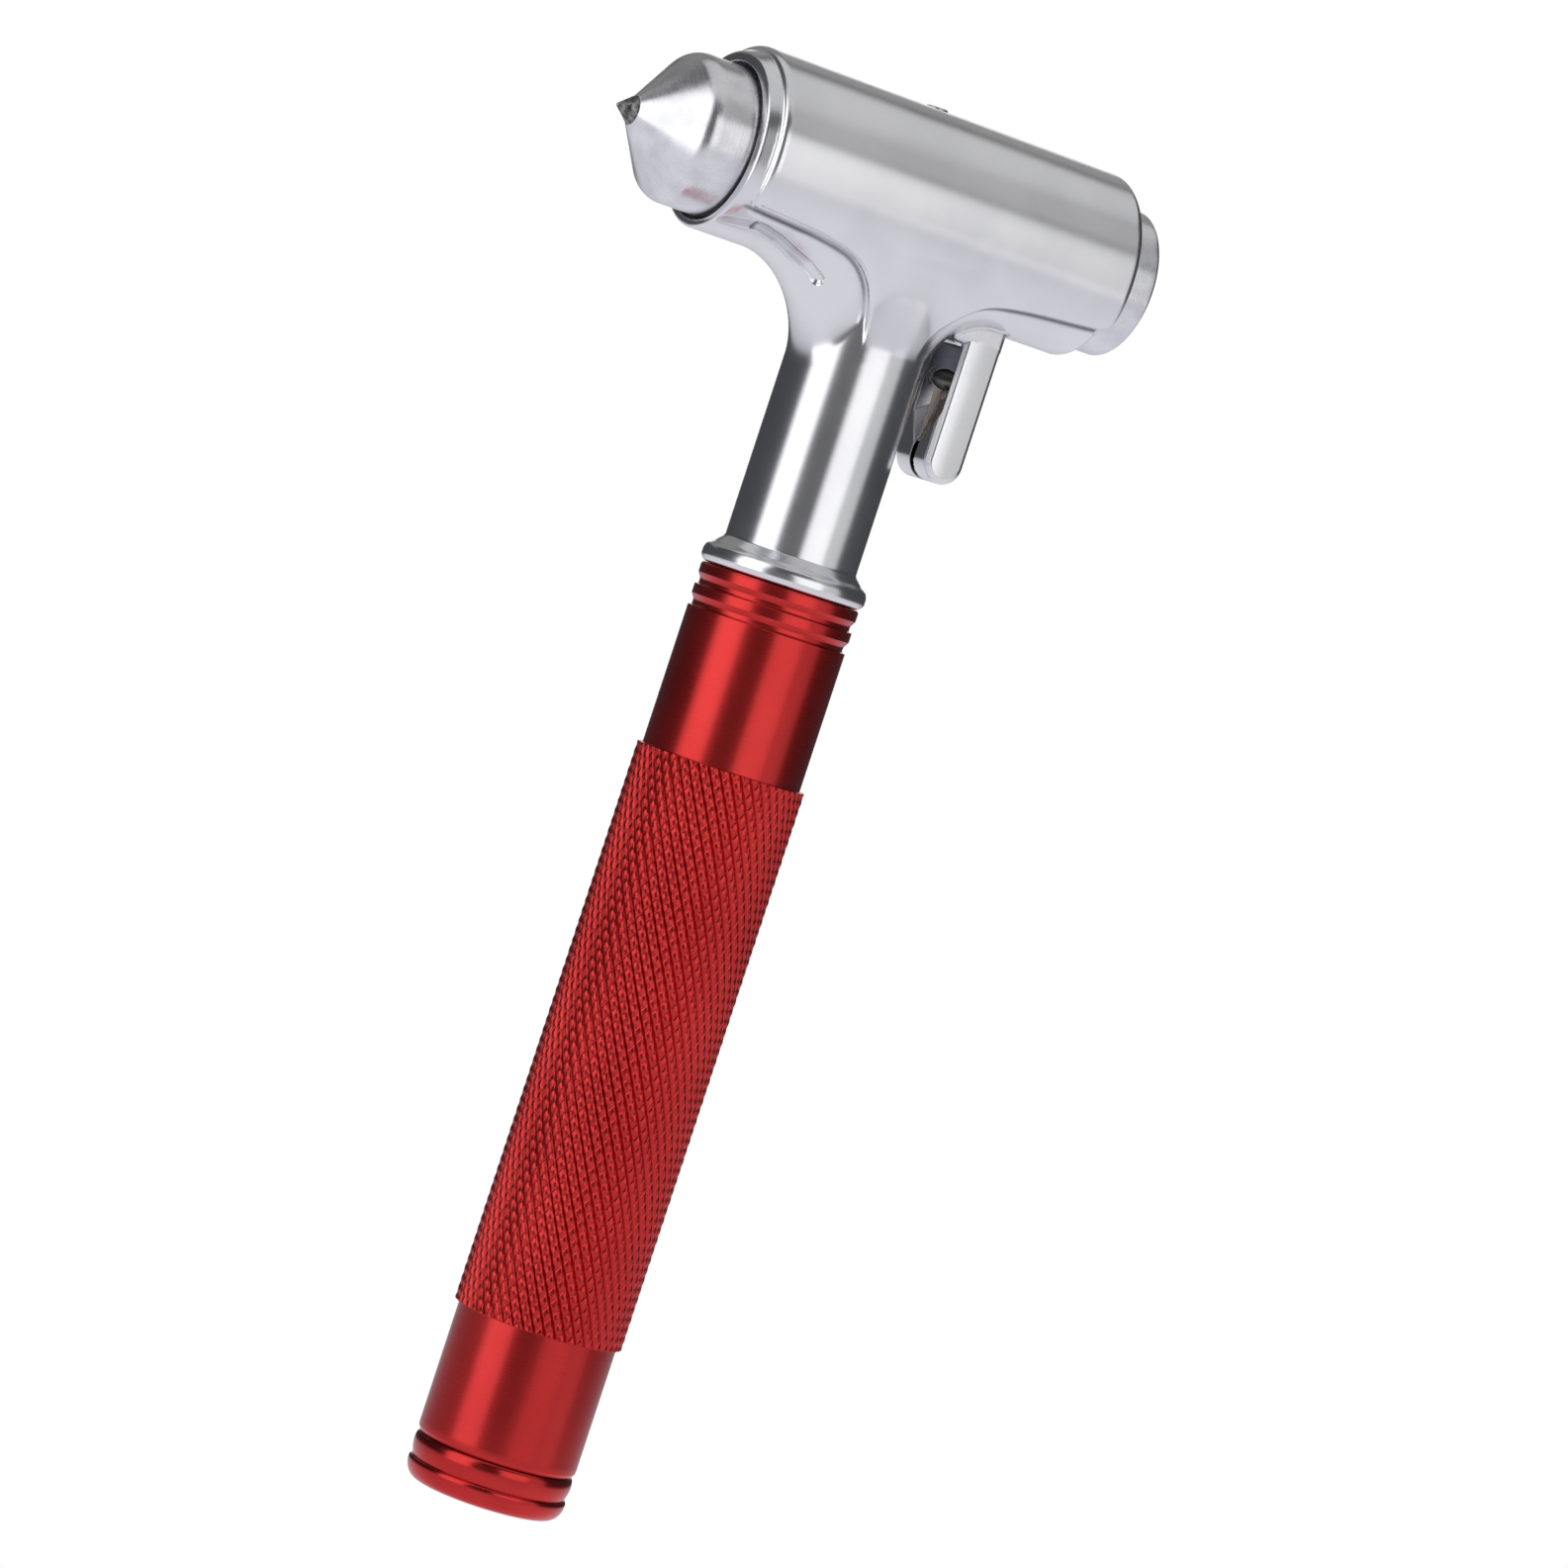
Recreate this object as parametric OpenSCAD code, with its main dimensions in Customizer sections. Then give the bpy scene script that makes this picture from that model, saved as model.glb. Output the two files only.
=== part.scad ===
// Emergency hammer: a die-cast T head with a hardened point, a flat striking face and a belt
// cutter, bolted to a knurled tube handle closed by a screw-in tail cap.
// Millimetres. Origin at the centre of the tail cap's flat end, +Z up the handle to the head,
// +X along the barrel toward the flat striking face, so the point is toward -X.

/* [Barrel] */
// height of the barrel's axis above the tail face
axis_z = 181.1; // [150:0.1:220]
// radius of the barrel's plain lower layer
base_r = 11.9; // [10:0.05:14]
// radius of the barrel's raised upper layer
shell_r = 13.8; // [11:0.05:16]
// left end of the lower layer, the thin lip round the point
lip_x = -30.0; // [-40:0.1:-20]
// radius of the narrow step round the left end
step_r = 12.9; // [12:0.05:14]
// left end of that step
step_x = -28.8; // [-35:0.1:-20]
// left end of the raised layer
shell_left_x = -27.9; // [-38:0.1:-18]
// right end of the raised layer
shell_right_x = 29.7; // [20:0.1:40]
// rounding of the raised layer's ends
shell_round = 1.2; // [0.3:0.1:2]
// how far below the barrel's axis the raised layer stops
shell_drop = 6.8; // [3:0.1:10]

/* [Striker] */
// radius of the striker bar
bar_r = 10.25; // [8:0.05:12]
// flat striking face
bar_face_x = 34.8; // [30:0.1:45]
// start of the cone
cone_x = -36.3; // [-45:0.1:-30]
// foot of the cone, where the hard tip sits
cone_foot_x = -43.1; // [-50:0.1:-38]
// point of the hard tip
tip_x = -45.6; // [-55:0.1:-40]
// radius of the hard tip at the foot of the cone
tip_r = 1.95; // [1:0.05:3]
// radial gap between bar and bore
bar_gap = 0.06; // [0.02:0.01:0.2]
// radius of the counterbore at each end of the barrel
lip_bore_r = 10.95; // [10.3:0.05:11.4]
// depth of that counterbore
lip_bore_depth = 1.6; // [0.8:0.1:4]

/* [Neck] */
// radius of the neck
neck_r = 9.15; // [7:0.05:11]
// underside of the collar, where the handle begins
collar_z = 128.3; // [110:0.1:140]
// widest radius of the collar
collar_r = 11.4; // [10:0.05:13]
// radius of the web's hollow between neck and barrel
web_r = 12.6; // [6:0.1:14]
// half width of that web
web_half = 7.2; // [4:0.1:9]

/* [Belt cutter] */
// inner side of the guard, across the gap from the neck
guard_in_x = 13.3; // [11:0.1:15]
// outer side of the guard
guard_out_x = 19.3; // [15:0.1:24]
// lowest point of the guard
guard_z = 147.7; // [140:0.1:160]
// near side of the guard
guard_near_y = -3.75; // [-7:0.05:-3]
// far side of the guard
guard_far_y = 4.6; // [2:0.05:6]
// near side of the blade slot
slot_near_y = 0.2; // [-2:0.05:1]
// far side of the blade slot
slot_far_y = 1.2; // [0:0.05:2.5]
// top of the loose guard half
guard_top_z = 166.6; // [160:0.1:170]

/* [Handle] */
// radius of the plain tube
tube_r = 11.0; // [8:0.05:14]
// radius over the knurled band
knurl_r = 11.7; // [9:0.05:15]
// lower end of the knurled band
knurl_low_z = 24.6; // [15:0.1:50]
// upper end of the knurled band
knurl_top_z = 102.9; // [70:0.1:115]
// depth of the ring grooves
groove_deep = 0.45; // [0.2:0.05:1]

/* [Tail cap] */
// height of the cap's gripped part
cap_h = 6.2; // [4:0.1:12]
// gap between the cap and the tube's end
cap_gap = 0.3; // [0.1:0.05:0.6]
// radius of the cap's threaded plug
plug_r = 9.0; // [7:0.05:10]
// length of the plug above the gripped part
plug_len = 10.0; // [5:0.1:16]
// radial clearance of the plug in the tube
plug_fit = 0.05; // [0.02:0.01:0.1]

/* [Hidden] */
$fn = 96;
e = 0.01;
tube_low_z = cap_h + cap_gap;
bore_r = bar_r + bar_gap;
guard_mid_x = (guard_in_x + guard_out_x) / 2;
guard_w = guard_out_x - guard_in_x;
bolt_seat_z = 112;
screw_at = [[guard_in_x + 1.8, 161.4], [guard_mid_x, 150.9]];

// points along an arc, angles in degrees
function arc(cx, cy, r, a0, a1, n = 6) =
  [for (i = [0:n]) [cx + r * cos(a0 + (a1 - a0) * i / n), cy + r * sin(a0 + (a1 - a0) * i / n)]];

// turns a Z solid so that its axis is the barrel's and its height runs along +X
module along_barrel(x = 0) translate([x, 0, axis_z]) rotate([0, 90, 0]) children();

// one layer of the barrel, turned with rounded ends
module turned_layer(r, x0, x1, round0, round1) along_barrel()
  rotate_extrude() polygon(concat([[0, x0]], arc(r - round0, x0 + round0, round0, -90, 0),
    arc(r - round1, x1 - round1, round1, 0, 90), [[0, x1]]));

// side view of the raised layer: the barrel's upper part and a stem that runs on to the neck
module shell_outline() translate([0, axis_z]) difference() {
  polygon([[-40, 20], [-40, 0.5 - shell_drop], [-14, -0.7 - shell_drop], [-14, -17],
    [15.5, -17], [15.5, -shell_drop], [40, 1 - shell_drop], [40, 20]]);
  translate([-14, -17.05]) circle(r = 9.5);
  translate([15.5, -15.55]) circle(r = 8.7);
}

module raised_layer() intersection() {
  union() {
    turned_layer(step_r, step_x, 0, 0.35, 0.35);
    turned_layer(shell_r, shell_left_x, shell_right_x, 0.7, shell_round);
  }
  translate([0, 20, 0]) rotate([90, 0, 0]) linear_extrude(height = 40) shell_outline();
}

// web under the barrel's left side: the neck flares out in a hollow curve
module left_web() intersection() {
  rotate_extrude() polygon(concat([[0, axis_z - 5], [0, axis_z - base_r - web_r]],
    arc(neck_r - 0.05 + web_r, axis_z - base_r - web_r + 0.4, web_r, 180, 90, 9),
    [[neck_r + web_r, axis_z - 5]]));
  translate([-24, -web_half, axis_z - 30]) cube([24, 2 * web_half, 24]);
}

module collar() rotate_extrude() polygon(concat(
  [[0, collar_z], [collar_r - 0.45, collar_z]],
  arc(collar_r - 1.3, collar_z + 1.35, 1.3, -40, 38, 5),
  [[neck_r + 0.05, collar_z + 4.3], [0, collar_z + 4.3]]));

// side view of one guard half, round at its lower end
module guard_outline(top) {
  translate([guard_mid_x, guard_z + guard_w / 2]) circle(r = guard_w / 2 + 0.01);
  translate([guard_in_x, guard_z + guard_w / 2]) square([guard_w, top - guard_z - guard_w / 2]);
}

module guard_slab(y0, y1, top) translate([0, y1, 0]) rotate([90, 0, 0])
  linear_extrude(height = y1 - y0) guard_outline(top);

// V pocket that leads a belt to the blade
module belt_pocket() translate([0, 0, 152.4]) linear_extrude(height = 13.6)
  polygon([[guard_in_x - 1, -3.5], [guard_in_x, -3.2], [guard_in_x + 2.3, slot_near_y + 0.1],
    [guard_in_x + 2.3, slot_far_y - 0.1], [guard_in_x, 4.1], [guard_in_x - 1, 4.4]]);

module screw_holes(r) for (at = screw_at) translate([at[0], 10, at[1]]) rotate([90, 0, 0])
  cylinder(h = 12.6, r = r);

module head_housing() color([0.80, 0.81, 0.83]) difference() {
  union() {
    turned_layer(base_r, lip_x, shell_right_x - 0.4, 0.5, 0.5);
    raised_layer();
    translate([0, 0, collar_z + 1]) cylinder(h = axis_z - collar_z - 4, r = neck_r);
    left_web();
    collar();
    // spigot inside the handle
    translate([0, 0, bolt_seat_z + 6]) cylinder(h = collar_z - bolt_seat_z - 5, r = 8.9);
    // block under the barrel that carries the guard
    translate([6, guard_near_y, guard_top_z + 0.05])
      cube([guard_out_x - 6, guard_far_y - guard_near_y, 6]);
    guard_slab(guard_near_y, slot_near_y, guard_top_z + 3);
  }
  along_barrel(-40) cylinder(h = 80, r = bore_r);
  along_barrel(lip_x - 1) cylinder(h = 1 + lip_bore_depth, r = lip_bore_r);
  along_barrel(shell_right_x - lip_bore_depth) cylinder(h = 2 + lip_bore_depth, r = lip_bore_r);
  // set screw hole, down to the bore
  translate([0, 0, axis_z + 5]) cylinder(h = 15, r = 1.52);
  // tapped hole for the handle bolt
  translate([0, 0, bolt_seat_z]) cylinder(h = 42, r = 4.02);
  belt_pocket();
  screw_holes(1.27);
}

module striker_bar() color([0.74, 0.75, 0.77]) difference() {
  along_barrel() rotate_extrude() polygon(concat(
    [[0, cone_foot_x], [tip_r, cone_foot_x]],
    arc(bar_r - 1.6, cone_x + 0.65, 1.6, -48, 0, 5),
    [[bar_r, bar_face_x - 0.5], [bar_r - 0.5, bar_face_x], [0, bar_face_x]]));
  along_barrel(cone_foot_x - 1) cylinder(h = 6, r = 1.5);
  // dimple for the set screw
  translate([0, 0, axis_z + bar_r - 0.8]) cylinder(h = 3, r = 1.05);
}

module carbide_tip() color([0.28, 0.28, 0.30]) along_barrel() union() {
  translate([0, 0, tip_x]) cylinder(h = cone_foot_x - tip_x, r1 = 0.12, r2 = tip_r);
  translate([0, 0, cone_foot_x]) cylinder(h = 4.8, r = 1.48);
}

module ring(r_mid, r_wire) rotate_extrude() translate([r_mid, 0]) circle(r = r_wire, $fn = 32);

module front_seal_ring() color([0.05, 0.05, 0.05])
  along_barrel(lip_x + 1.0) ring((bar_r + lip_bore_r) / 2, 0.33);

module rear_seal_ring() color([0.05, 0.05, 0.05])
  along_barrel(shell_right_x - 1.1) ring((bar_r + lip_bore_r) / 2, 0.33);

module striker_set_screw() color([0.55, 0.56, 0.58]) difference() {
  union() {
    translate([0, 0, axis_z + bar_r - 0.7]) cylinder(h = 0.9, r = 1.0);
    translate([0, 0, axis_z + bar_r + 0.2]) cylinder(h = shell_r - bar_r, r = 1.5);
  }
  translate([-2, -0.25, axis_z + shell_r - 0.55]) cube([4, 0.5, 2]);
}

module cutter_cover() color([0.80, 0.81, 0.83]) difference() {
  guard_slab(slot_far_y, guard_far_y, guard_top_z);
  belt_pocket();
  screw_holes(1.27);
  for (at = screw_at) translate([at[0], guard_far_y - 1.15, at[1]]) rotate([-90, 0, 0])
    cylinder(h = 3, r = 1.72);
}

// flat blade in the slot, its bevelled edge at the mouth of the V
module cutter_blade() color([0.60, 0.58, 0.55]) union() {
  translate([guard_in_x + 1.1, slot_near_y + 0.05, 152.4]) cube([4.5, 0.9, 7.6]);
  translate([guard_in_x, 0, 152.5]) linear_extrude(height = 7.4)
    polygon([[1.11, slot_near_y + 0.05], [1.11, slot_far_y - 0.05],
      [0.15, (slot_near_y + slot_far_y) / 2]]);
}

module cutter_screws() color([0.45, 0.45, 0.47]) for (at = screw_at)
  translate([at[0], guard_far_y - 0.1, at[1]]) rotate([90, 0, 0]) difference() {
    union() {
      cylinder(h = 1.0, r = 1.65);
      cylinder(h = 7.0, r = 1.25);
    }
    translate([0, 0, -1]) cylinder(h = 1.7, r = 0.85, $fn = 6);
  }

// two ring grooves just under the head
module top_groove(z) translate([0, 0, z]) rotate_extrude() polygon([
  [tube_r + 1, 0.75], [tube_r, 0.75], [tube_r - groove_deep, 0.15],
  [tube_r - groove_deep, -0.5], [tube_r, -0.7], [tube_r + 1, -0.7]]);

module handle_tube() color([0.66, 0.07, 0.08]) difference() {
  rotate_extrude() polygon([
    [0, tube_low_z], [tube_r - 0.35, tube_low_z], [tube_r, tube_low_z + 0.8],
    [tube_r, knurl_low_z], [knurl_r - 0.1, knurl_low_z], [knurl_r, knurl_low_z + 0.3],
    [knurl_r, knurl_top_z - 0.3], [knurl_r - 0.1, knurl_top_z], [tube_r, knurl_top_z],
    [tube_r, collar_z - 0.05], [0, collar_z - 0.05]]);
  top_groove(collar_z - 2.4);
  top_groove(collar_z - 5.3);
  // seat for the tail seal, then the plug's threaded bore
  translate([0, 0, tube_low_z - 1]) cylinder(h = 3.6, r = 9.4);
  translate([0, 0, tube_low_z]) cylinder(h = plug_len + 3, r = plug_r + plug_fit);
  translate([0, 0, tube_low_z + plug_len]) cylinder(h = bolt_seat_z - tube_low_z - plug_len, r = 8.2);
  translate([0, 0, bolt_seat_z - 1]) cylinder(h = 10, r = 4.2);
  translate([0, 0, bolt_seat_z + 5.95]) cylinder(h = 20, r = 8.95);
}

module handle_bolt() color([0.35, 0.35, 0.37]) difference() {
  union() {
    translate([0, 0, bolt_seat_z - 11.6]) cylinder(h = 8, r = 6.5);
    translate([0, 0, bolt_seat_z - 3.7]) cylinder(h = 42, r = 4.0);
  }
  translate([0, 0, bolt_seat_z - 12]) cylinder(h = 4.4, r = 3.46, $fn = 6);
}

module washer(z, r_in, r_out, h) translate([0, 0, z]) difference() {
  cylinder(h = h, r = r_out);
  translate([0, 0, -1]) cylinder(h = h + 2, r = r_in);
}

module bolt_washer() color([0.62, 0.62, 0.64]) washer(bolt_seat_z - 1.6, 4.2, 7.9, 1.6);

// split spring washer
module lock_washer() color([0.42, 0.42, 0.44]) difference() {
  washer(bolt_seat_z - 3.6, 4.1, 6.9, 2.0);
  translate([3, -0.4, bolt_seat_z - 5]) rotate([18, 0, 0]) cube([6, 0.8, 6]);
}

module tail_cap() color([0.66, 0.07, 0.08]) difference() {
  union() {
    rotate_extrude() polygon(concat([[0, 0]],
      arc(tube_r - 1.3, 1.3, 1.3, -90, 0),
      [[tube_r, 2.4], [tube_r - 0.15, 2.85], [tube_r - 0.4, 3.05], [tube_r - 0.2, 3.3]],
      arc(tube_r - 0.8, 4.4, 0.8, -40, 40, 4),
      [[tube_r - 0.2, 5.6], [tube_r - 0.4, cap_h], [0, cap_h]]));
    translate([0, 0, cap_h - 0.5]) cylinder(h = plug_len + 0.5, r = plug_r);
  }
  // gland for the seal ring
  translate([0, 0, cap_h + 0.5]) difference() {
    cylinder(h = 1.5, r = 12);
    translate([0, 0, -1]) cylinder(h = 4, r = 8.1);
  }
  // the plug is hollow
  translate([0, 0, cap_h - 2.5]) cylinder(h = plug_len + 5, r = 6.4);
}

module tail_seal_ring() color([0.04, 0.04, 0.04])
  translate([0, 0, cap_h + 1.25]) ring(8.75, 0.6);

head_housing();
striker_bar();
carbide_tip();
front_seal_ring();
rear_seal_ring();
striker_set_screw();
cutter_cover();
cutter_blade();
cutter_screws();
handle_tube();
handle_bolt();
bolt_washer();
lock_washer();
tail_cap();
tail_seal_ring();
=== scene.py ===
import math
import bpy
import bmesh
import numpy as np
from mathutils import Matrix, Vector


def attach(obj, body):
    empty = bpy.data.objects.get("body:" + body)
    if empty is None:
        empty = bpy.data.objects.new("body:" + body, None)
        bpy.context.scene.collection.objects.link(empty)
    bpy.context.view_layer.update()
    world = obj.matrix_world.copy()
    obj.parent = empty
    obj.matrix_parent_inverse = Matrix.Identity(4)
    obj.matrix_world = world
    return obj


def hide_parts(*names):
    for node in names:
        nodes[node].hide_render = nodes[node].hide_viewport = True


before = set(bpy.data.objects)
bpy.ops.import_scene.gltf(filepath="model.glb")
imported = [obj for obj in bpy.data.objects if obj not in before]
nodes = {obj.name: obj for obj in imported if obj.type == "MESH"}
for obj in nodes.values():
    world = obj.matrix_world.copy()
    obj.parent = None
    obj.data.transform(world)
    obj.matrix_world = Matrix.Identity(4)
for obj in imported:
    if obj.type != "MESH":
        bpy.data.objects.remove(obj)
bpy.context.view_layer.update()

# All shapes below are written in millimetres, in the part's own frame, and scaled once.
MM = 0.001
AXIS_Z = 181.1          # height of the barrel's axis
BASE_R = 11.9           # the barrel's plain lower layer
SHELL_R = 13.8          # its raised upper layer
NECK_R = 9.15
COLLAR_Z = 128.3        # underside of the collar, where the handle starts
SPIGOT_R = 8.9          # what the head puts into the handle
TUBE_R = 11.0
KNURL_R = 11.7
KNURL_LOW, KNURL_TOP = 24.6, 102.9
BOLT_SEAT = 112.0       # underside of the wall in the tube that the handle bolt clamps
PLUG_LONG = 10.0        # the tail cap's plug in the tube
CAP_H = 6.2             # the tail cap's gripped part


# ---------------------------------------------------------------- materials

class Nodes:
    """A short way to write a node tree."""

    def __init__(self, name):
        self.mat = bpy.data.materials.new(name)
        self.mat.use_nodes = True
        self.tree = self.mat.node_tree
        self.bsdf = self.tree.nodes["Principled BSDF"]
        self.where = self.add("ShaderNodeTexCoord").outputs["Object"]

    def add(self, kind, **props):
        n = self.tree.nodes.new(kind)
        for k, v in props.items():
            setattr(n, k, v)
        return n

    def put(self, socket, value):
        """Links a socket, or sets a plain value."""
        if hasattr(value, "is_output"):
            self.tree.links.new(value, socket)
        else:
            socket.default_value = value

    def vec(self, scale):
        """Object coordinates in millimetres, stretched."""
        m = self.add("ShaderNodeMapping")
        self.put(m.inputs["Vector"], self.where)
        m.inputs["Scale"].default_value = tuple(1000 * s for s in scale)
        return m.outputs["Vector"]

    def noise(self, scale, detail=3.0, rough=0.55):
        """Noise. The scale is in cycles per millimetre, or it is coordinates from spread."""
        n = self.add("ShaderNodeTexNoise")
        n.inputs["Scale"].default_value = 1.0
        n.inputs["Detail"].default_value = detail
        n.inputs["Roughness"].default_value = rough
        self.put(n.inputs["Vector"], scale if hasattr(scale, "is_output") else self.vec(scale))
        return n.outputs["Fac"]

    def math(self, op, a, b=0.0, c=0.0):
        n = self.add("ShaderNodeMath", operation=op)
        for s, v in zip(n.inputs, (a, b, c)):
            self.put(s, v)
        return n.outputs[0]

    def remap(self, value, a, b, lo, hi):
        """A smooth step from lo to hi as the value goes from a to b."""
        n = self.add("ShaderNodeMapRange")
        n.interpolation_type = "SMOOTHSTEP"
        for s, v in zip(n.inputs, (value, a, b, lo, hi)):
            self.put(s, v)
        return n.outputs[0]

    def mix(self, fac, a, b):
        n = self.add("ShaderNodeMix", data_type="RGBA")
        self.put(n.inputs["Factor"], fac)
        for key, v in (("A", a), ("B", b)):
            s = [i for i in n.inputs if i.name == key and i.type == "RGBA"][0]
            self.put(s, v if hasattr(v, "is_output") else (*v, 1.0))
        return [o for o in n.outputs if o.type == "RGBA"][0]

    def bump(self, height, strength, distance, chain=None):
        """Relief, with its distance in millimetres, on top of an earlier bump."""
        n = self.add("ShaderNodeBump")
        n.inputs["Strength"].default_value = strength
        n.inputs["Distance"].default_value = distance * MM
        self.put(n.inputs["Height"], height)
        if chain is not None:
            self.put(n.inputs["Normal"], chain)
        return n.outputs["Normal"]

    def split(self):
        """Object coordinates x, y and z, in metres."""
        n = self.add("ShaderNodeSeparateXYZ")
        self.put(n.inputs[0], self.where)
        return n.outputs

    def spread(self, parts, scale):
        """Coordinates made of three parts in metres, each scaled to cycles per millimetre."""
        n = self.add("ShaderNodeCombineXYZ")
        for s, part, k in zip(n.inputs, parts, scale):
            self.put(s, self.math("MULTIPLY", part, 1000 * k))
        return n.outputs[0]

    def done(self, color, rough, metallic=1.0, normal=None, **sockets):
        """Fills the shader and gives the material."""
        b = self.bsdf
        self.put(b.inputs["Base Color"], color if hasattr(color, "is_output") else (*color, 1.0))
        self.put(b.inputs["Roughness"], rough)
        b.inputs["Metallic"].default_value = metallic
        if normal is not None:
            self.put(b.inputs["Normal"], normal)
        for k, v in sockets.items():
            b.inputs[k.replace("_", " ")].default_value = v
        return self.mat


def chrome_casting():
    """Satin chrome over a die casting: smooth, buffed brighter down the neck, with painted shade in its
    corners.
    """
    m = Nodes("satin_chrome")
    polished = m.remap(m.split()["Z"], 166 * MM, 158 * MM, 0.0, 1.0)
    cloud = m.noise((0.09, 0.09, 0.09), 2.0)
    fine = m.noise((1.6, 5.0, 5.0), 4.0)
    rough = m.math("ADD", m.math("MULTIPLY", polished, -0.03),
                   m.math("ADD", m.math("MULTIPLY", cloud, 0.05),
                          m.math("ADD", m.math("MULTIPLY", fine, 0.05), 0.20)))
    tone = m.mix(m.remap(cloud, 0.35, 0.65, 0.0, 1.0), (0.80, 0.80, 0.825), (0.85, 0.85, 0.865))
    # painted shade: corners and recesses are darkened towards (0.10, 0.10, 0.12) by the painted_corner_shade
    # attribute
    corner = m.add("ShaderNodeAttribute", attribute_name="painted_corner_shade").outputs["Fac"]
    tone = m.mix(m.remap(corner, 0.06, 0.46, 0.0, 0.93), tone, (0.10, 0.10, 0.12))
    waves = m.bump(m.noise((0.55, 0.55, 0.55), 1.0), 0.10, 0.02)
    grain = m.bump(fine, 0.10, 0.010, waves)
    return m.done(tone, rough, normal=grain)


def turned_steel():
    """Machined bar: tool marks run round the barrel's axis, and rings on the flat face."""
    m = Nodes("turned_steel")
    x, y, z = m.split()
    zb = m.math("SUBTRACT", z, AXIS_Z * MM)
    radius = m.math("SQRT", m.math("ADD", m.math("MULTIPLY", y, y), m.math("MULTIPLY", zb, zb)))
    along = m.math("ADD", x, m.math("MULTIPLY", radius, 0.83))
    marks = m.noise(m.spread((along, y, z), (9.0, 0.12, 0.12)), 4.0, 0.7)
    coarse = m.noise(m.spread((along, y, z), (2.3, 0.05, 0.05)), 2.0, 0.5)
    smear = m.noise((0.22, 0.30, 0.30), 3.0)
    worn = m.math("ADD", m.math("MULTIPLY", smear, 0.10), 0.14)
    rough = m.math("ADD", m.math("MULTIPLY", marks, 0.16), worn)
    tone = m.mix(m.remap(smear, 0.3, 0.72, 0.0, 1.0), (0.70, 0.70, 0.73), (0.84, 0.84, 0.86))
    n1 = m.bump(coarse, 0.22, 0.020)
    n2 = m.bump(marks, 0.30, 0.012, n1)
    return m.done(tone, rough, normal=n2)


def hard_tip():
    """Sintered hard metal, dark and gritty, with lighter ground patches."""
    m = Nodes("sintered_tip")
    grit = m.noise((4.0, 4.0, 4.0), 5.0, 0.7)
    patch = m.noise((1.1, 1.1, 1.1), 3.0)
    tone = m.mix(m.remap(patch, 0.35, 0.65, 0.0, 1.0), (0.10, 0.10, 0.105), (0.34, 0.34, 0.33))
    return m.done(tone, m.remap(grit, 0.2, 0.8, 0.20, 0.34), 0.9, m.bump(grit, 0.20, 0.02))


def anodised_red(name, base):
    """Dyed anodised aluminium: fine turning rings under a thin clear oxide. base is its roughness."""
    m = Nodes(name)
    x, y, z = m.split()
    rings = m.noise(m.spread((x, y, z), (0.035, 0.035, 7.0)), 4.0, 0.65)
    broad = m.noise(m.spread((x, y, z), (0.06, 0.06, 0.9)), 2.0, 0.5)
    cloud = m.noise((0.07, 0.07, 0.05), 2.0)
    tone = m.mix(m.remap(cloud, 0.3, 0.7, 0.0, 1.0), (0.54, 0.028, 0.028), (0.64, 0.038, 0.036))
    worn = m.math("ADD", m.math("MULTIPLY", cloud, 0.05), base)
    rough = m.math("ADD", m.math("MULTIPLY", rings, 0.08), worn)
    n1 = m.bump(broad, 0.06, 0.02)
    n2 = m.bump(rings, 0.16, 0.006, n1)
    return m.done(tone, rough, normal=n2, Coat_Weight=0.16, Coat_Roughness=0.16, Coat_IOR=1.5)


def rubber():
    """Black nitrile rubber."""
    m = Nodes("black_rubber")
    n = m.noise((2.5, 2.5, 2.5), 3.0)
    tone = m.mix(n, (0.012, 0.012, 0.013), (0.03, 0.03, 0.032))
    return m.done(tone, m.remap(n, 0.3, 0.7, 0.22, 0.42), 0.0, m.bump(n, 0.2, 0.02))


def blade_steel():
    """Ground blade steel, tinted brown: the brown is a painted warm reflection."""
    m = Nodes("ground_blade")
    lines = m.noise((7.0, 7.0, 0.5), 3.0)
    # painted reflection: the blade's colour carries a brown tint
    tone = m.mix(m.noise((0.8, 0.8, 0.8), 2.0), (0.40, 0.33, 0.28), (0.62, 0.54, 0.47))
    return m.done(tone, m.remap(lines, 0.3, 0.7, 0.16, 0.34), 1.0, m.bump(lines, 0.3, 0.008))


def black_oxide():
    """Blackened screw steel, worn lighter in places."""
    m = Nodes("dark_screw_steel")
    n = m.noise((3.0, 3.0, 3.0), 4.0)
    tone = m.mix(n, (0.10, 0.095, 0.09), (0.26, 0.25, 0.24))
    return m.done(tone, m.remap(n, 0.3, 0.7, 0.25, 0.45), 1.0, m.bump(n, 0.25, 0.01))


def zinc():
    """Zinc plating, slightly cloudy."""
    m = Nodes("zinc_plate")
    n = m.noise((1.2, 1.2, 1.2), 4.0)
    tone = m.mix(n, (0.50, 0.51, 0.54), (0.72, 0.73, 0.76))
    return m.done(tone, m.remap(n, 0.3, 0.7, 0.25, 0.45), 1.0, m.bump(n, 0.2, 0.01))


CHROME = chrome_casting()
STEEL = turned_steel()
TIP = hard_tip()
RED = anodised_red("anodised_red", 0.21)
RED_CAP = anodised_red("anodised_red_cap", 0.17)
RUBBER = rubber()
BLADE = blade_steel()
DARK = black_oxide()
ZINC = zinc()


# ---------------------------------------------------------------- mesh helpers

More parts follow.
